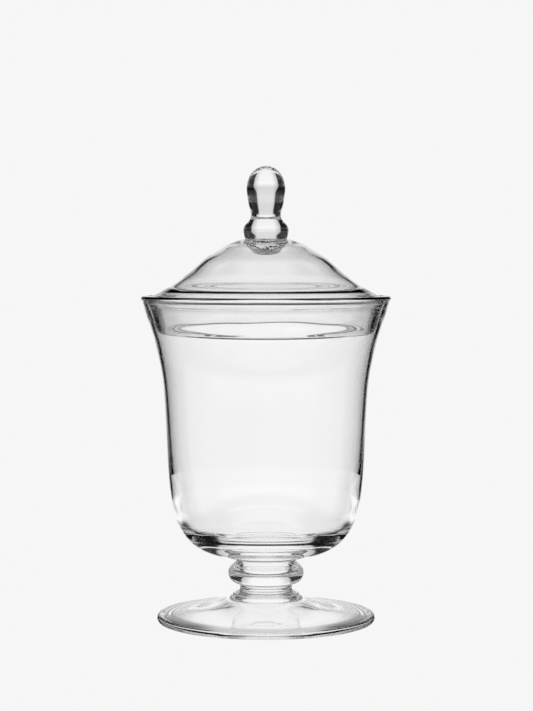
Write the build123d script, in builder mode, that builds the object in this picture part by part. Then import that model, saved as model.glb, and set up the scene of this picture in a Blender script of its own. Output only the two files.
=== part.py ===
"""Apothecary jar of clear glass: a footed jar with a flared mouth and a loose lid.

Everything is turned about +Z. The origin is the centre of the ring that the foot stands on.
Outlines are (radius, height) points in millimetres.
"""

import os

from build123d import *

# Driving dimensions, heights above the table
FOOT_HOLLOW_TOP = 11.4
FOOT_TOP = 15.2
MERESE_TOP = 18.8
KNOP_TOP = 34.1
BOWL_BASE = 36.1
BOWL_FLOOR = 47.8
RIM_TOP = 183.6
BEAD_BOTTOM = 180.1
FLANGE_UNDERSIDE = 180.2
CROWN_TOP = 215.5
CROWN_UNDERSIDE = 212.8
PAD_BOTTOM = 206.8
KNOB_COLLAR_TOP = 227.8
KNOB_TOP = 256.4

# Driving dimensions, radii
REST_RING_INNER = 56.5
REST_RING_OUTER = 59.6
FOOT_RADIUS = 61.4
FOOT_HOLLOW_RADIUS = 17.0
FOOT_SEAT_RADIUS = 18.3
LOWER_NECK_RADIUS = 14.6
KNOP_RADIUS = 21.4
UPPER_NECK_RADIUS = 17.0
LIP_RADIUS = 70.2
LIP_MIDDLE = 69.0
FLANGE_RADIUS = 67.0
COLLAR_SEAT_INNER = 61.6
COLLAR_SEAT_OUTER = 65.8
PAD_RADIUS = 11.2
CROWN_SEAT_RADIUS = 11.4
KNOB_COLLAR_RADIUS = 12.75
KNOB_NECK_RADIUS = 8.5
KNOB_RADIUS = 10.85

# The skirt of the lid was trimmed by hand, so its lower edge isn't quite level
COLLAR_EDGE_HEIGHT = 164.2
COLLAR_EDGE_TILT = 2.6
COLLAR_EDGE_ROUNDING = 1.0
COLLAR_TRIM_LENGTH = 8.0

os.makedirs("parts", exist_ok=True)

# Foot: a spun cone of even thickness, hollow underneath, with a thick rounded edge
with BuildPart() as foot:
    with BuildSketch(Plane.XZ):
        with BuildLine():
            Line((0, FOOT_TOP), (FOOT_SEAT_RADIUS, FOOT_TOP))
            upper = Spline(
                (FOOT_SEAT_RADIUS, FOOT_TOP),
                (24.5, 12.2),
                (31.0, 9.3),
                (38.0, 7.4),
                (48.0, 6.0),
                (56.0, 5.1),
                (59.2, 4.4),
                tangents=((0.88, -0.47), (0.92, -0.4)),
                tangent_scalars=(1, 1),
            )
            edge = ThreePointArc(upper @ 1, (FOOT_RADIUS, 2.2), (REST_RING_OUTER, 0))
            Line(edge @ 1, (REST_RING_INNER, 0))
            under = Spline(
                (REST_RING_INNER, 0),
                (48.0, 2.3),
                (38.0, 3.7),
                (31.0, 5.6),
                (24.5, 8.4),
                (FOOT_HOLLOW_RADIUS, FOOT_HOLLOW_TOP),
                tangents=((-0.8, 0.6), (-1, 0.1)),
                tangent_scalars=(1, 1),
            )
            Line(under @ 1, (0, FOOT_HOLLOW_TOP))
            Line((0, FOOT_HOLLOW_TOP), (0, FOOT_TOP))
        make_face()
    revolve(axis=Axis.Z)
foot.part.label = "foot"

# Wafer of glass that the stem stands on, with a small rounded lip over the foot
with BuildPart() as lower_merese:
    with BuildSketch(Plane.XZ):
        with BuildLine():
            Line((0, FOOT_TOP), (FOOT_SEAT_RADIUS, FOOT_TOP))
            lip = ThreePointArc((FOOT_SEAT_RADIUS, FOOT_TOP), (18.7, 15.8), (18.0, 16.3))
            cove = Spline(
                lip @ 1,
                (15.6, 17.2),
                (LOWER_NECK_RADIUS, MERESE_TOP),
                tangents=((-1, 0.15), (0, 1)),
                tangent_scalars=(1, 1),
            )
            Line(cove @ 1, (0, MERESE_TOP))
            Line((0, MERESE_TOP), (0, FOOT_TOP))
        make_face()
    revolve(axis=Axis.Z)
lower_merese.part.label = "lower_merese"

# Solid bulb in the stem, a little heavier above than below
with BuildPart() as knop:
    with BuildSketch(Plane.XZ):
        with BuildLine():
            Line((0, MERESE_TOP), (LOWER_NECK_RADIUS, MERESE_TOP))
            bulb = Spline(
                (LOWER_NECK_RADIUS, MERESE_TOP),
                (15.5, 20.8),
                (18.0, 22.0),
                (20.3, 24.0),
                (KNOP_RADIUS, 27.6),
                (20.5, 30.5),
                (18.6, 32.6),
                (UPPER_NECK_RADIUS, KNOP_TOP),
                tangents=((0, 1), (-0.75, 0.66)),
                tangent_scalars=(1, 1),
            )
            Line(bulb @ 1, (0, KNOP_TOP))
            Line((0, KNOP_TOP), (0, MERESE_TOP))
        make_face()
    revolve(axis=Axis.Z)
knop.part.label = "knop"

# Thin wafer that joins the stem to the bowl
with BuildPart() as upper_merese:
    with BuildSketch(Plane.XZ):
        with BuildLine():
            Line((0, KNOP_TOP), (UPPER_NECK_RADIUS, KNOP_TOP))
            waist = ThreePointArc(
                (UPPER_NECK_RADIUS, KNOP_TOP),
                (16.6, (KNOP_TOP + BOWL_BASE) / 2),
                (UPPER_NECK_RADIUS, BOWL_BASE),
            )
            Line(waist @ 1, (0, BOWL_BASE))
            Line((0, BOWL_BASE), (0, KNOP_TOP))
        make_face()
    revolve(axis=Axis.Z)
upper_merese.part.label = "upper_merese"

# Bowl: thick floor, thin wall, flared mouth with a rounded bead
with BuildPart() as bowl:
    with BuildSketch(Plane.XZ):
        with BuildLine():
            Line((0, BOWL_BASE), (UPPER_NECK_RADIUS, BOWL_BASE))
            outside = Spline(
                (UPPER_NECK_RADIUS, BOWL_BASE),
                (26.5, 37.6),
                (34.0, 39.8),
                (41.3, 44.1),
                (46.9, 50.5),
                (50.3, 57.5),
                (52.7, 66.5),
                (54.2, 76.5),
                (55.2, 90.0),
                (57.0, 125.0),
                (58.6, 140.5),
                (61.0, 152.2),
                (63.2, 161.2),
                (66.2, 170.3),
                (69.2, BEAD_BOTTOM),
            )
            bead = Spline(
                outside @ 1,
                (LIP_RADIUS, 182.2),
                (LIP_MIDDLE, RIM_TOP),
                (67.8, 182.6),
                (67.0, BEAD_BOTTOM),
                tangents=((0.1, 1), (-0.25, -1)),
                tangent_scalars=(1, 1),
            )
            inside = Spline(
                bead @ 1,
                (65.1, 174.0),
                (62.2, 165.5),
                (58.7, 152.2),
                (56.5, 140.5),
                (55.0, 125.0),
                (53.3, 96.0),
                (51.7, 80.0),
                (49.6, 68.0),
                (47.9, 60.6),
                (44.6, 53.8),
                (37.0, 49.0),
                (25.0, 47.9),
                (0, BOWL_FLOOR),
                tangents=((-0.25, -1), (-1, 0)),
                tangent_scalars=(1, 1),
            )
            Line(inside @ 1, (0, BOWL_BASE))
        make_face()
    revolve(axis=Axis.Z)
bowl.part.label = "bowl"

# Lid dome: an ogee that flares into the flange, which sits just inside the mouth
with BuildPart() as lid_dome:
    with BuildSketch(Plane.XZ):
        with BuildLine():
            Line((0, CROWN_TOP), (CROWN_SEAT_RADIUS, CROWN_TOP))
            over = Spline(
                (CROWN_SEAT_RADIUS, CROWN_TOP),
                (18.5, 213.5),
                (25.1, 210.2),
                (32.8, 205.4),
                (40.8, 198.8),
                (48.9, 192.1),
                (56.0, 187.6),
                (62.8, 184.1),
                (66.0, 182.6),
                tangents=((1, -0.1), (0.9, -0.42)),
                tangent_scalars=(1, 1),
            )
            rounding = ThreePointArc(over @ 1, (FLANGE_RADIUS, 181.4), (66.3, FLANGE_UNDERSIDE))
            Line(rounding @ 1, (COLLAR_SEAT_INNER, FLANGE_UNDERSIDE))
            below = Spline(
                (COLLAR_SEAT_INNER, FLANGE_UNDERSIDE),
                (60.6, 182.2),
                (58.6, 183.9),
                (54.8, 185.5),
                (47.5, 190.2),
                (39.3, 196.9),
                (31.4, 203.5),
                (23.9, 208.1),
                (17.6, 211.3),
                (PAD_RADIUS, CROWN_UNDERSIDE),
                tangents=((0.1, 1), (-1, 0.1)),
                tangent_scalars=(1, 1),
            )
            Line(below @ 1, (0, CROWN_UNDERSIDE))
            Line((0, CROWN_UNDERSIDE), (0, CROWN_TOP))
        make_face()
    revolve(axis=Axis.Z)
lid_dome.part.label = "lid_dome"

# Skirt under the flange, trimmed along a slightly tilted plane
with BuildPart() as lid_collar:
    with BuildSketch(Plane.XZ):
        with BuildLine():
            Line((COLLAR_SEAT_INNER, FLANGE_UNDERSIDE), (COLLAR_SEAT_OUTER, FLANGE_UNDERSIDE))
            outer_wall = Spline(
                (COLLAR_SEAT_OUTER, FLANGE_UNDERSIDE),
                (64.1, 174.0),
                (61.3, 165.5),
                (59.6, COLLAR_EDGE_HEIGHT - COLLAR_TRIM_LENGTH),
            )
            Line(outer_wall @ 1, (56.4, COLLAR_EDGE_HEIGHT - COLLAR_TRIM_LENGTH))
            Spline(
                (56.4, COLLAR_EDGE_HEIGHT - COLLAR_TRIM_LENGTH),
                (58.2, 165.5),
                (60.8, 174.0),
                (COLLAR_SEAT_INNER, FLANGE_UNDERSIDE),
            )
        make_face()
    revolve(axis=Axis.Z)
    trim = Plane((0, 0, COLLAR_EDGE_HEIGHT)).rotated((COLLAR_EDGE_TILT, 0, 0))
    split(bisect_by=trim, keep=Keep.TOP)
    fillet(lid_collar.edges().group_by(Axis.Z)[0], radius=COLLAR_EDGE_ROUNDING)
lid_collar.part.label = "lid_collar"

# Button of glass inside the crown, under the knob
with BuildPart() as crown_pad:
    with BuildSketch(Plane.XZ):
        with BuildLine():
            Line((0, CROWN_UNDERSIDE), (PAD_RADIUS, CROWN_UNDERSIDE))
            button = Spline(
                (PAD_RADIUS, CROWN_UNDERSIDE),
                (11.1, 211.2),
                (9.6, 209.0),
                (6.2, 207.4),
                (0, PAD_BOTTOM),
                tangents=((0, -1), (-1, 0)),
                tangent_scalars=(1, 1),
            )
            Line(button @ 1, (0, CROWN_UNDERSIDE))
        make_face()
    revolve(axis=Axis.Z)
crown_pad.part.label = "crown_pad"

# Bell-shaped gather on the crown
with BuildPart() as knob_collar:
    with BuildSketch(Plane.XZ):
        with BuildLine():
            Line((0, KNOB_COLLAR_TOP), (KNOB_NECK_RADIUS, KNOB_COLLAR_TOP))
            bell = Spline(
                (KNOB_NECK_RADIUS, KNOB_COLLAR_TOP),
                (9.0, 226.4),
                (10.5, 224.7),
                (12.0, 222.9),
                (KNOB_COLLAR_RADIUS, 220.3),
                (12.4, 218.0),
                (12.1, 216.5),
            )
            heel = ThreePointArc(bell @ 1, (11.9, 215.9), (CROWN_SEAT_RADIUS, CROWN_TOP))
            Line(heel @ 1, (0, CROWN_TOP))
            Line((0, CROWN_TOP), (0, KNOB_COLLAR_TOP))
        make_face()
    revolve(axis=Axis.Z)
knob_collar.part.label = "knob_collar"

# Egg-shaped finial on a short waist
with BuildPart() as knob:
    with BuildSketch(Plane.XZ):
        with BuildLine():
            Line((0, KNOB_COLLAR_TOP), (KNOB_NECK_RADIUS, KNOB_COLLAR_TOP))
            egg = Spline(
                (KNOB_NECK_RADIUS, KNOB_COLLAR_TOP),
                (8.4, 229.6),
                (9.5, 234.1),
                (10.45, 239.5),
                (KNOB_RADIUS, 243.8),
                (9.6, 249.5),
                (7.1, 253.4),
                (0, KNOB_TOP),
                tangents=((-0.3, 1), (-1, 0)),
                tangent_scalars=(1, 1),
            )
            Line(egg @ 1, (0, KNOB_COLLAR_TOP))
        make_face()
    revolve(axis=Axis.Z)
knob.part.label = "knob"

for piece in (
    foot,
    lower_merese,
    knop,
    upper_merese,
    bowl,
    lid_dome,
    lid_collar,
    crown_pad,
    knob_collar,
    knob,
):
    export_step(piece.part, f"parts/{piece.part.label}.step")
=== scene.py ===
"""Apothecary jar of clear glass, in metres, in the frame of its CAD model.

Every piece is turned about +Z from an outline of (radius, height) points in millimetres. Where two
pieces are welded hot there is no surface in the real glass, so the faces that meet there are clear.
"""

import math

import bmesh
import bpy
import numpy as np
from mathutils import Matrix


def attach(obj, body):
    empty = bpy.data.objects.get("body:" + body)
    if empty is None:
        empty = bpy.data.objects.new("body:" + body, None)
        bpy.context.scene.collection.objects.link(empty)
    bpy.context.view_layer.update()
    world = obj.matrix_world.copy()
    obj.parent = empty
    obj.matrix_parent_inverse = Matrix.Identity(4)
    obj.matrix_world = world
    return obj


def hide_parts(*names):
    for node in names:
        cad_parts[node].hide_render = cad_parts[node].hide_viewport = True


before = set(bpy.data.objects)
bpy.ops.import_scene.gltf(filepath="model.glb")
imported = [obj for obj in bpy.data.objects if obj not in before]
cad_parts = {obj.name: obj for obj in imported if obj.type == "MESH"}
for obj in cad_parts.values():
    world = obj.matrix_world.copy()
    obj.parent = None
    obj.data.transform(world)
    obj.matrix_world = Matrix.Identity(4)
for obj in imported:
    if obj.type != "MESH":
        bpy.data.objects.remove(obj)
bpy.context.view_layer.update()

MM = 0.001

# ---------------------------------------------------------------- heights and radii, as in the CAD

FOOT_HOLLOW_TOP = 11.4
FOOT_TOP = 15.2
MERESE_TOP = 18.8
KNOP_TOP = 34.1
BOWL_BASE = 36.1
BOWL_FLOOR = 47.8
RIM_TOP = 183.6
BEAD_BOTTOM = 180.1
FLANGE_UNDERSIDE = 180.2
CROWN_TOP = 215.5
CROWN_UNDERSIDE = 212.8
PAD_BOTTOM = 206.8
KNOB_COLLAR_TOP = 227.8
KNOB_TOP = 256.4

REST_RING_INNER = 56.5
REST_RING_OUTER = 59.6
FOOT_RADIUS = 61.4
FOOT_HOLLOW_RADIUS = 17.0
FOOT_SEAT_RADIUS = 18.3
LOWER_NECK_RADIUS = 14.6
KNOP_RADIUS = 21.4
UPPER_NECK_RADIUS = 17.0
LIP_RADIUS = 70.2
LIP_MIDDLE = 69.0
FLANGE_RADIUS = 67.0
COLLAR_SEAT_INNER = 61.6
COLLAR_SEAT_OUTER = 65.8
PAD_RADIUS = 11.2
CROWN_SEAT_RADIUS = 11.4
KNOB_COLLAR_RADIUS = 12.75
KNOB_NECK_RADIUS = 8.5
KNOB_RADIUS = 10.85

COLLAR_EDGE_HEIGHT = 164.2
COLLAR_EDGE_TILT = math.radians(2.6)

SEGMENTS = 224
STEP = 0.8

# ------------------------------------------------------------------------------------- outlines


def spline(*points, start=None, end=None):
    """Points along a smooth cubic through these points, by chord length, with optional end directions."""
    p = np.array(points, float)
    t = np.concatenate(([0], np.cumsum(np.linalg.norm(np.diff(p, axis=0), axis=1))))
    h = np.diff(t)
    n = len(p)
    a = np.zeros((n, n))
    b = np.zeros((n, 2))
    for i in range(1, n - 1):
        a[i, i - 1 : i + 2] = h[i], 2 * (h[i - 1] + h[i]), h[i - 1]
        b[i] = 3 * (h[i] * (p[i] - p[i - 1]) / h[i - 1] + h[i - 1] * (p[i + 1] - p[i]) / h[i])
    for row, beside, way, chord in (
        (0, 1, start, (p[1] - p[0]) / h[0]),
        (n - 1, n - 2, end, (p[-1] - p[-2]) / h[-1]),
    ):
        a[row, row] = 1
        if way is None:
            a[row, beside] = 0.5
            b[row] = 1.5 * chord
        else:
            b[row] = np.array(way) / np.linalg.norm(way)
    m = np.linalg.solve(a, b)
    s = np.linspace(0, t[-1], max(3, math.ceil(t[-1] / STEP) + 1))
    k = np.clip(np.searchsorted(t, s, side="right") - 1, 0, n - 2)
    u = ((s - t[k]) / h[k])[:, None]
    hk = h[k][:, None]
    return (
        (1 + 2 * u) * (1 - u) ** 2 * p[k]
        + u * (1 - u) ** 2 * hk * m[k]
        + u**2 * (3 - 2 * u) * p[k + 1]
        + u**2 * (u - 1) * hk * m[k + 1]
    )


def arc(first, middle, last):
    """Points along the circular arc through three points."""
    (ax, ay), (bx, by), (cx, cy) = first, middle, last
    d = 2 * (ax * (by - cy) + bx * (cy - ay) + cx * (ay - by))
    sa, sb, sc = ax**2 + ay**2, bx**2 + by**2, cx**2 + cy**2
    ox = (sa * (by - cy) + sb * (cy - ay) + sc * (ay - by)) / d
    oy = (sa * (cx - bx) + sb * (ax - cx) + sc * (bx - ax)) / d
    r = math.hypot(ax - ox, ay - oy)
    ta, tb, tc = (math.atan2(y - oy, x - ox) for x, y in (first, middle, last))
    turn = (tc - ta) % (2 * math.pi)
    if (tb - ta) % (2 * math.pi) > turn:
        turn -= 2 * math.pi
    steps = max(6, math.ceil(abs(turn) * r / STEP))
    t = ta + turn * np.linspace(0, 1, steps + 1)
    return np.column_stack((ox + r * np.cos(t), oy + r * np.sin(t)))


def line(first, last):
    return np.array([first, last], float)


# ------------------------------------------------------------------------------------- meshes

GLASS, WELD = 0, 1


def lathe(name, sections, closed=False, warp=None):
    """Turns an outline about +Z. sections are (points, GLASS or WELD), end to end.

    An outline that isn't closed starts and ends on the axis. warp moves a ring's points by angle.
    """
    points, kinds, crisp = [], [], []
    for pts, kind in sections:
        if points:
            pts = pts[1:]
            crisp.append(len(points) - 1)
        kinds += [kind] * (len(pts) - (0 if points else 1))
        points += [tuple(p) for p in pts]
    if closed:
        points.pop()
        crisp.append(0)
    angle = np.linspace(0, 2 * math.pi, SEGMENTS, endpoint=False)
    verts, rings = [], []
    for r, z in points:
        if r < 1e-6:
            rings.append([len(verts)] * SEGMENTS)
            verts.append((0, 0, z * MM))
            continue
        rr, zz = (np.full(SEGMENTS, r), np.full(SEGMENTS, z)) if warp is None else warp(r, z, angle)
        rings.append(list(range(len(verts), len(verts) + SEGMENTS)))
        verts += list(zip(rr * np.cos(angle) * MM, rr * np.sin(angle) * MM, zz * MM))
    faces, slots = [], []
    for i, kind in enumerate(kinds):
        low, high = rings[i], rings[(i + 1) % len(rings)]
        for j in range(SEGMENTS):
            k = (j + 1) % SEGMENTS
            corners = dict.fromkeys((low[j], low[k], high[k], high[j]))
            faces.append(list(corners))
            slots.append(kind)
    mesh = bpy.data.meshes.new(name)
    mesh.from_pydata(verts, [], faces)
    mesh.polygons.foreach_set("material_index", slots)
    mesh.polygons.foreach_set("use_smooth", [True] * len(faces))
    sharp_rings = {v for i in crisp for v in rings[i]}
    for edge in mesh.edges:
        if all(v in sharp_rings for v in edge.vertices):
            edge.use_edge_sharp = True
    mesh.validate()
    mesh.update()
    piece = bpy.data.objects.new(name, mesh)
    bpy.context.collection.objects.link(piece)
    outward(mesh)
    return piece


def outward(mesh):
    """Turns the faces outward, by the sign of the volume they enclose."""
    bm = bmesh.new()
    bm.from_mesh(mesh)
    if bm.calc_volume(signed=True) < 0:
        bmesh.ops.reverse_faces(bm, faces=bm.faces)
    bm.to_mesh(mesh)
    bm.free()


# ----------------------------------------------------------------------------------- materials


def new_material(name):
    material = bpy.data.materials.new(name)
    material.use_nodes = True
    nodes = material.node_tree.nodes
    nodes.clear()
    out = nodes.new("ShaderNodeOutputMaterial")
    return material, nodes, material.node_tree.links, out


def bumps(nodes, links, shader, heights, distance):
    """Adds heights, each an output of 0 to 1 with its share, and bends the shader's normal by them."""
    total = None
    for output, share in heights:
        scaled = nodes.new("ShaderNodeMath")
        scaled.operation = "MULTIPLY_ADD"
        scaled.inputs[1].default_value = share
        links.new(output, scaled.inputs[0])
        if total:
            links.new(total, scaled.inputs[2])
        else:
            scaled.inputs[2].default_value = 0
        total = scaled.outputs[0]
    bump = nodes.new("ShaderNodeBump")
    bump.inputs["Distance"].default_value = distance
    links.new(total, bump.inputs["Height"])
    links.new(bump.outputs["Normal"], shader.inputs["Normal"])


def noise(nodes, links, scale, stretch=(1, 1, 1), detail=2):
    """Noise over the piece in its own metres, longer along an axis whose stretch is small."""
    place_node = nodes.new("ShaderNodeTexCoord")
    mapping = nodes.new("ShaderNodeMapping")
    mapping.inputs["Scale"].default_value = stretch
    texture = nodes.new("ShaderNodeTexNoise")
    texture.inputs["Scale"].default_value = scale
    texture.inputs["Detail"].default_value = detail
    links.new(place_node.outputs["Object"], mapping.inputs["Vector"])
    links.new(mapping.outputs["Vector"], texture.inputs["Vector"])
    return texture.outputs["Fac"]


def rings(nodes, links, scale, distortion):
    """Fine rings about +Z, uneven as a hand tool leaves them."""
    place_node = nodes.new("ShaderNodeTexCoord")
    texture = nodes.new("ShaderNodeTexWave")
    texture.wave_type = "RINGS"
    texture.rings_direction = "Z"
    texture.inputs["Scale"].default_value = scale
    texture.inputs["Distortion"].default_value = distortion
    texture.inputs["Detail"].default_value = 1
    texture.inputs["Detail Scale"].default_value = 0.6
    links.new(place_node.outputs["Object"], texture.inputs["Vector"])
    return texture.outputs["Fac"]


def glass(name, roughness, distance, heights):
    """Colourless glass. heights(nodes, links) gives the outputs that make its surface uneven."""
    material, nodes, links, out = new_material(name)
    shader = nodes.new("ShaderNodeBsdfPrincipled")
    shader.inputs["Transmission Weight"].default_value = 1
    shader.inputs["IOR"].default_value = 1.5
    shader.inputs["Roughness"].default_value = roughness
    tint = nodes.new("ShaderNodeValToRGB")
    tint.color_ramp.elements[0].position = 0.3
    tint.color_ramp.elements[0].color = (0.988, 0.988, 0.988, 1)
    tint.color_ramp.elements[1].position = 0.7
    tint.color_ramp.elements[1].color = (0.999, 0.999, 0.999, 1)
    links.new(noise(nodes, links, 22, (1, 1, 0.4)), tint.inputs["Fac"])
    links.new(tint.outputs["Color"], shader.inputs["Base Color"])
    bumps(nodes, links, shader, heights(nodes, links), distance)
    links.new(shader.outputs[0], out.inputs["Surface"])
    return material


def blown(nodes, links):
    """Long soft waves and a few finer cords, as in glass blown and turned by hand."""
    waves = noise(nodes, links, 26, (1, 1, 0.3), 1)
    cords = noise(nodes, links, 90, (1, 1, 0.12), 1)
    return [(waves, 1), (cords, 0.2)]


def tooled(nodes, links):
    """The same waves with rings from the tool that spread the foot."""
    return [(noise(nodes, links, 30, (1, 1, 1), 1), 1), (rings(nodes, links, 55, 2.5), 0.06)]


def scarred(nodes, links):
    """The lumpy scar where the rod that held the lid was broken off and melted smooth."""
    return [(noise(nodes, links, 260, (1, 1, 1), 2), 1), (noise(nodes, links, 700, (1, 1, 1), 1), 0.25)]


def weld():
    """The inside of a hot weld, where two pieces are one glass and nothing shows."""
    material, nodes, links, out = new_material("weld")
    shader = nodes.new("ShaderNodeBsdfTransparent")
    links.new(shader.outputs[0], out.inputs["Surface"])
    return material


blown_glass = glass("blown_glass", 0, 0.00008, blown)
tooled_glass = glass("tooled_glass", 0, 0.00013, tooled)
scarred_glass = glass("scarred_glass", 0.03, 0.0022, scarred)
weld_material = weld()
finishes = {"foot": tooled_glass, "crown_pad": scarred_glass}


def place(piece, body):
    """Gives a piece its glass and its body, and hides the CAD node of the same name."""
    node = piece.name.removesuffix("_glass")
    piece.data.materials.append(finishes.get(node, blown_glass))
    piece.data.materials.append(weld_material)
    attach(piece, body)
    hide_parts(node)


# ---------------------------------------------------------------------------------- the jar


def make_foot():
    upper = spline(
        (FOOT_SEAT_RADIUS, FOOT_TOP),
        (24.5, 12.2),
        (31.0, 9.3),
        (38.0, 7.4),
        (48.0, 6.0),
        (56.0, 5.1),
        (59.2, 4.4),
        start=(0.88, -0.47),
        end=(0.92, -0.4),
    )
    edge = arc(upper[-1], (FOOT_RADIUS, 2.2), (REST_RING_OUTER, 0))
    under = spline(
        (REST_RING_INNER, 0),
        (48.0, 2.3),
        (38.0, 3.7),
        (31.0, 5.6),
        (24.5, 8.4),
        (FOOT_HOLLOW_RADIUS, FOOT_HOLLOW_TOP),
        start=(-0.8, 0.6),
        end=(-1, 0.1),
    )
    return lathe(
        "foot_glass",
        [
            (line((0, FOOT_TOP), (FOOT_SEAT_RADIUS, FOOT_TOP)), WELD),
            (upper, GLASS),
            (edge, GLASS),
            (line(edge[-1], under[0]), GLASS),
            (under, GLASS),
            (line(under[-1], (0, FOOT_HOLLOW_TOP)), GLASS),
        ],
    )


def make_lower_merese():
    lip = arc((FOOT_SEAT_RADIUS, FOOT_TOP), (18.7, 15.8), (18.0, 16.3))
    cove = spline(lip[-1], (15.6, 17.2), (LOWER_NECK_RADIUS, MERESE_TOP), start=(-1, 0.15), end=(0, 1))
    return lathe(
        "lower_merese_glass",
        [
            (line((0, FOOT_TOP), (FOOT_SEAT_RADIUS, FOOT_TOP)), WELD),
            (lip, GLASS),
            (cove, GLASS),
            (line((LOWER_NECK_RADIUS, MERESE_TOP), (0, MERESE_TOP)), WELD),
        ],
    )


def make_knop():
    bulb = spline(
        (LOWER_NECK_RADIUS, MERESE_TOP),
        (15.5, 20.8),
        (18.0, 22.0),
        (20.3, 24.0),
        (KNOP_RADIUS, 27.6),
        (20.5, 30.5),
        (18.6, 32.6),
        (UPPER_NECK_RADIUS, KNOP_TOP),
        start=(0, 1),
        end=(-0.75, 0.66),
    )
    return lathe(
        "knop_glass",
        [
            (line((0, MERESE_TOP), (LOWER_NECK_RADIUS, MERESE_TOP)), WELD),
            (bulb, GLASS),
            (line((UPPER_NECK_RADIUS, KNOP_TOP), (0, KNOP_TOP)), WELD),
        ],
    )


def make_upper_merese():
    waist = arc(
        (UPPER_NECK_RADIUS, KNOP_TOP),
        (16.6, (KNOP_TOP + BOWL_BASE) / 2),
        (UPPER_NECK_RADIUS, BOWL_BASE),
    )
    return lathe(
        "upper_merese_glass",
        [
            (line((0, KNOP_TOP), (UPPER_NECK_RADIUS, KNOP_TOP)), WELD),
            (waist, GLASS),
            (line((UPPER_NECK_RADIUS, BOWL_BASE), (0, BOWL_BASE)), WELD),
        ],
    )


def make_bowl():
    outside = spline(
        (UPPER_NECK_RADIUS, BOWL_BASE),
        (26.5, 37.6),
        (34.0, 39.8),
        (41.3, 44.1),
        (46.9, 50.5),
        (50.3, 57.5),
        (52.7, 66.5),
        (54.2, 76.5),
        (55.2, 90.0),
        (57.0, 125.0),
        (58.6, 140.5),
        (61.0, 152.2),
        (63.2, 161.2),
        (66.2, 170.3),
        (69.2, BEAD_BOTTOM),
    )
    bead = spline(
        outside[-1],
        (LIP_RADIUS, 182.2),
        (LIP_MIDDLE, RIM_TOP),
        (67.8, 182.6),
        (67.0, BEAD_BOTTOM),
        start=(0.1, 1),
        end=(-0.25, -1),
    )
    inside = spline(
        bead[-1],
        (65.1, 174.0),
        (62.2, 165.5),
        (58.7, 152.2),
        (56.5, 140.5),
        (55.0, 125.0),
        (53.3, 96.0),
        (51.7, 80.0),
        (49.6, 68.0),
        (47.9, 60.6),
        (44.6, 53.8),
        (37.0, 49.0),
        (25.0, 47.9),
        (0, BOWL_FLOOR),
        start=(-0.25, -1),
        end=(-1, 0),
    )
    return lathe(
        "bowl_glass",
        [
            (line((0, BOWL_BASE), (UPPER_NECK_RADIUS, BOWL_BASE)), WELD),
            (outside, GLASS),
            (bead, GLASS),
            (inside, GLASS),
        ],
    )


# ---------------------------------------------------------------------------------- the lid


def make_lid_dome():
    over = spline(
        (CROWN_SEAT_RADIUS, CROWN_TOP),
        (18.5, 213.5),
        (25.1, 210.2),
        (32.8, 205.4),
        (40.8, 198.8),
        (48.9, 192.1),
        (56.0, 187.6),
        (62.8, 184.1),
        (66.0, 182.6),
        start=(1, -0.1),
        end=(0.9, -0.42),
    )
    rounding = arc(over[-1], (FLANGE_RADIUS, 181.4), (66.3, FLANGE_UNDERSIDE))
    below = spline(
        (COLLAR_SEAT_INNER, FLANGE_UNDERSIDE),
        (60.6, 182.2),
        (58.6, 183.9),
        (54.8, 185.5),
        (47.5, 190.2),
        (39.3, 196.9),
        (31.4, 203.5),
        (23.9, 208.1),
        (17.6, 211.3),
        (PAD_RADIUS, CROWN_UNDERSIDE),
        start=(0.1, 1),
        end=(-1, 0.1),
    )
    return lathe(
        "lid_dome_glass",
        [
            (line((0, CROWN_TOP), (CROWN_SEAT_RADIUS, CROWN_TOP)), WELD),
            (over, GLASS),
            (rounding, GLASS),
            (line(rounding[-1], (COLLAR_SEAT_OUTER, FLANGE_UNDERSIDE)), GLASS),
            (line((COLLAR_SEAT_OUTER, FLANGE_UNDERSIDE), (COLLAR_SEAT_INNER, FLANGE_UNDERSIDE)), WELD),
            (below, GLASS),
            (line((PAD_RADIUS, CROWN_UNDERSIDE), (0, CROWN_UNDERSIDE)), WELD),
        ],
    )


def trimmed_edge(r, z, angle):
    """Slopes the skirt's lower edge up towards the back, and makes it slightly uneven."""
    share = (FLANGE_UNDERSIDE - z) / (FLANGE_UNDERSIDE - COLLAR_EDGE_HEIGHT)
    rise = r * np.sin(angle) * math.tan(COLLAR_EDGE_TILT)
    wave = (0.3 * np.sin(5 * angle + 1.0) + 0.2 * np.sin(9 * angle + 2.2)) * (1 + np.sin(angle)) / 2
    return np.full_like(angle, r), z + share * (rise + wave)


def make_lid_collar():
    outer_wall = spline(
        (COLLAR_SEAT_OUTER, FLANGE_UNDERSIDE), (64.1, 174.0), (61.3, 165.8), (61.1, 165.4)
    )
    tip = spline(outer_wall[-1], (60.0, COLLAR_EDGE_HEIGHT), (58.2, 165.4), start=(-0.3, -1), end=(0.15, 1))
    inner_wall = spline(tip[-1], (60.8, 174.0), (COLLAR_SEAT_INNER, FLANGE_UNDERSIDE))
    return lathe(
        "lid_collar_glass",
        [
            (line((COLLAR_SEAT_INNER, FLANGE_UNDERSIDE), (COLLAR_SEAT_OUTER, FLANGE_UNDERSIDE)), WELD),
            (outer_wall, GLASS),
            (tip, GLASS),
            (inner_wall, GLASS),
        ],
        closed=True,
        warp=trimmed_edge,
    )


def make_crown_pad():
    button = spline(
        (PAD_RADIUS, CROWN_UNDERSIDE),
        (11.1, 211.2),
        (9.6, 209.0),
        (6.2, 207.4),
        (0, PAD_BOTTOM),
        start=(0, -1),
        end=(-1, 0),
    )
    return lathe(
        "crown_pad_glass",
        [(line((0, CROWN_UNDERSIDE), (PAD_RADIUS, CROWN_UNDERSIDE)), WELD), (button, GLASS)],
    )


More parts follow.
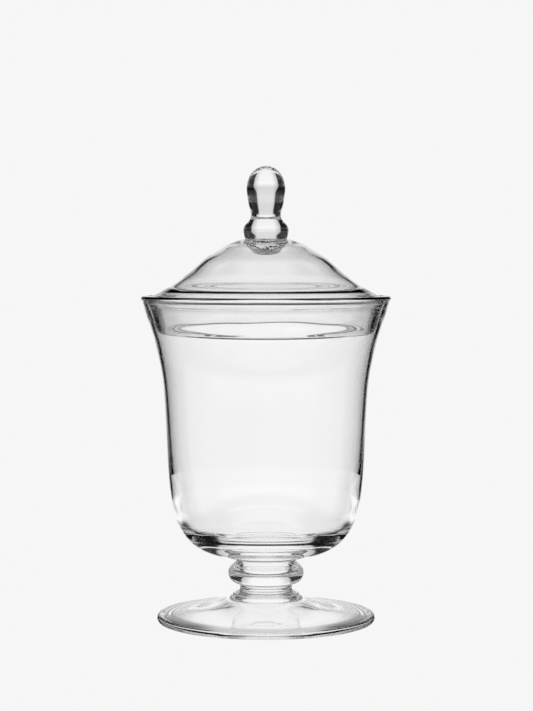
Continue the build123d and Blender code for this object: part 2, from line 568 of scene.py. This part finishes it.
def make_knob_collar():
    bell = spline(
        (KNOB_NECK_RADIUS, KNOB_COLLAR_TOP),
        (9.0, 226.4),
        (10.5, 224.7),
        (12.0, 222.9),
        (KNOB_COLLAR_RADIUS, 220.3),
        (12.4, 218.0),
        (12.1, 216.5),
    )
    heel = arc(bell[-1], (11.9, 215.9), (CROWN_SEAT_RADIUS, CROWN_TOP))
    return lathe(
        "knob_collar_glass",
        [
            (line((0, KNOB_COLLAR_TOP), (KNOB_NECK_RADIUS, KNOB_COLLAR_TOP)), WELD),
            (bell, GLASS),
            (heel, GLASS),
            (line((CROWN_SEAT_RADIUS, CROWN_TOP), (0, CROWN_TOP)), WELD),
        ],
    )


def make_knob():
    egg = spline(
        (KNOB_NECK_RADIUS, KNOB_COLLAR_TOP),
        (8.4, 229.6),
        (9.5, 234.1),
        (10.45, 239.5),
        (KNOB_RADIUS, 243.8),
        (9.6, 249.5),
        (7.1, 253.4),
        (0, KNOB_TOP),
        start=(-0.3, 1),
        end=(-1, 0),
    )
    return lathe(
        "knob_glass",
        [(line((0, KNOB_COLLAR_TOP), (KNOB_NECK_RADIUS, KNOB_COLLAR_TOP)), WELD), (egg, GLASS)],
    )


for make in (make_foot, make_lower_merese, make_knop, make_upper_merese, make_bowl):
    place(make(), "jar")
for make in (make_lid_dome, make_lid_collar, make_crown_pad, make_knob_collar, make_knob):
    place(make(), "lid")

# ---------------------------------------------------------------------------------- the studio

PAPER = 0.922
FLOOR_RADIUS = 3.0
FLOOR_CORNERS = 96
FLOOR_DROP = 0.0003

TENT_RADIUS = 0.36
TENT_HEIGHT = 0.45
TENT_DROP = 0.001
TENT_CENTRE = 0.0001
TENT_SPACING = 2
WALL_ROWS = 46
FLAT_ROWS = 37

# How bright the parts of the tent are. Black cloth still gives a little light
SHEET_LIGHT = 0.965
FRONT_LIGHT = 0.5
SIDE_LIGHT = 0.45
TABLE_LIGHT = 0.97
TOP_LIGHT = 0.02
BLACK = 0.003

LENS = 103.65
CAMERA_PLACE = (0.0003, -1.150, 0.2065)
CAMERA_TIP = 2.811


def fade(x, first, last):
    """0 before first, 1 after last, and smooth between them."""
    t = min(max((x - first) / (last - first), 0), 1)
    return t * t * (3 - 2 * t)


def wall_light(angle, z):
    """The tent's wall, by degrees from straight behind the jar and height.

    A lit sheet hangs behind the jar, with black on each side of it, and the rest is pale up to the
    height of the lid. The front is brighter level with the skirt of the lid and near the top.
    """
    half_width = 27.5 - 8 * fade(z, 0.22, 0.3)
    sheet = SHEET_LIGHT * (1 - fade(angle, half_width - 2, half_width + 1.5))
    sheet *= 1 - 0.35 * fade(angle, 12, 26)
    sheet *= 1 - 0.24 * fade(z, 0.19, 0.25)
    turned = fade(angle, 95, 120)
    front = FRONT_LIGHT + 0.4 * fade(z, 0.12, 0.16) - 0.8 * fade(z, 0.18, 0.23) + 1.1 * fade(z, 0.32, 0.38)
    sides = SIDE_LIGHT * fade(angle, 56, 66) * (1 - fade(z, 0.2, 0.235))
    return sheet + front * turned + sides * (1 - turned) + BLACK


def table_light(angle, radius):
    """The table: white, a little dimmer under the foot as painted shade, with a dark ring round the foot
    that is open behind and grey in front: painted contact shadow next to the foot, black cloth further out.
    """
    # painted contact shadow round the foot, running out into black cloth at the sides; open behind, grey in
    # front
    ring = fade(radius, 0.036, 0.054) * (1 - fade(radius, 0.16, 0.24))
    ring *= fade(angle, 24, 30) * (1 - 0.6 * fade(angle, 130, 150))
    # painted shade: the table is dimmer under the foot and just round it
    white = TABLE_LIGHT - 0.1 * (1 - fade(radius, 0.06, 0.09))
    return white * (1 - 0.97 * ring)


def lit_by_point():
    """Emission whose strength is written on the mesh's points."""
    material, nodes, links, out = new_material("tent_cloth")
    level = nodes.new("ShaderNodeAttribute")
    level.attribute_name = "light"
    light = nodes.new("ShaderNodeEmission")
    links.new(level.outputs["Color"], light.inputs["Color"])
    links.new(light.outputs[0], out.inputs["Surface"])
    return material


def stage_mesh(name, verts, faces, material):
    mesh = bpy.data.meshes.new(name)
    mesh.from_pydata(verts, [], faces)
    mesh.materials.append(material)
    thing = bpy.data.objects.new(name, mesh)
    bpy.context.collection.objects.link(thing)
    return thing


def cloth(name, rows, material):
    """One side of the tent. rows are rings of (radius, height, light by angle), end to end."""
    turns = [i * TENT_SPACING for i in range(360 // TENT_SPACING)]
    verts, lights, faces = [], [], []
    for radius, z, light in rows:
        for turn in turns:
            t = math.radians(turn)
            verts.append((radius * math.sin(t), radius * math.cos(t), z))
            lights += [light(min(turn, 360 - turn))] * 3 + [1]
    n = len(turns)
    for k in range(len(rows) - 1):
        for i in range(n):
            j = (i + 1) % n
            faces.append((k * n + i, k * n + j, (k + 1) * n + j, (k + 1) * n + i))
    side = stage_mesh(name, verts, faces, material)
    side.visible_camera = False
    side.data.attributes.new("light", "FLOAT_COLOR", "POINT").data.foreach_set("color", lights)


def make_tent():
    """A round tent of black and white cloth, which only glass sees."""
    material = lit_by_point()
    heights = np.linspace(-TENT_DROP, TENT_HEIGHT, WALL_ROWS)
    radii = np.linspace(TENT_CENTRE, TENT_RADIUS, FLAT_ROWS)
    wall = [(TENT_RADIUS, z, lambda angle, z=z: wall_light(angle, z)) for z in heights]
    table = [(r, heights[0], lambda angle, r=r: table_light(angle, r)) for r in radii]
    top = [(r, TENT_HEIGHT, lambda angle: TOP_LIGHT) for r in radii]
    for name, rows in (("tent_wall", wall), ("tent_table", table), ("tent_top", top)):
        cloth(name, rows, material)


def make_floor():
    """The pale floor that the camera sees round the jar."""
    material, nodes, links, out = new_material("floor_paper")
    light = nodes.new("ShaderNodeEmission")
    light.inputs["Color"].default_value = (PAPER, PAPER, PAPER, 1)
    links.new(light.outputs[0], out.inputs["Surface"])
    turns = [2 * math.pi * i / FLOOR_CORNERS for i in range(FLOOR_CORNERS)]
    rim = [(FLOOR_RADIUS * math.sin(t), FLOOR_RADIUS * math.cos(t), -FLOOR_DROP) for t in turns]
    floor = stage_mesh("floor", rim, [range(len(rim))], material)
    floor.visible_transmission = False
    floor.visible_glossy = False
    floor.visible_diffuse = False


def make_camera():
    """A long lens a little above the rim, tipped down slightly."""
    data = bpy.data.cameras.new("camera")
    data.lens = LENS
    camera = bpy.data.objects.new("camera", data)
    camera.location = CAMERA_PLACE
    camera.rotation_euler = (math.radians(90 - CAMERA_TIP), 0, 0)
    bpy.context.collection.objects.link(camera)
    bpy.context.scene.camera = camera


def make_world():
    world = bpy.data.worlds.new("studio")
    bpy.context.scene.world = world
    world.use_nodes = True
    world.node_tree.nodes["Background"].inputs["Color"].default_value = (PAPER, PAPER, PAPER, 1)


make_floor()
make_world()
make_tent()
make_camera()

scene = bpy.context.scene
scene.view_settings.view_transform = "Standard"
scene.cycles.max_bounces = 32
scene.cycles.transmission_bounces = 32
scene.cycles.glossy_bounces = 16
scene.cycles.transparent_max_bounces = 64
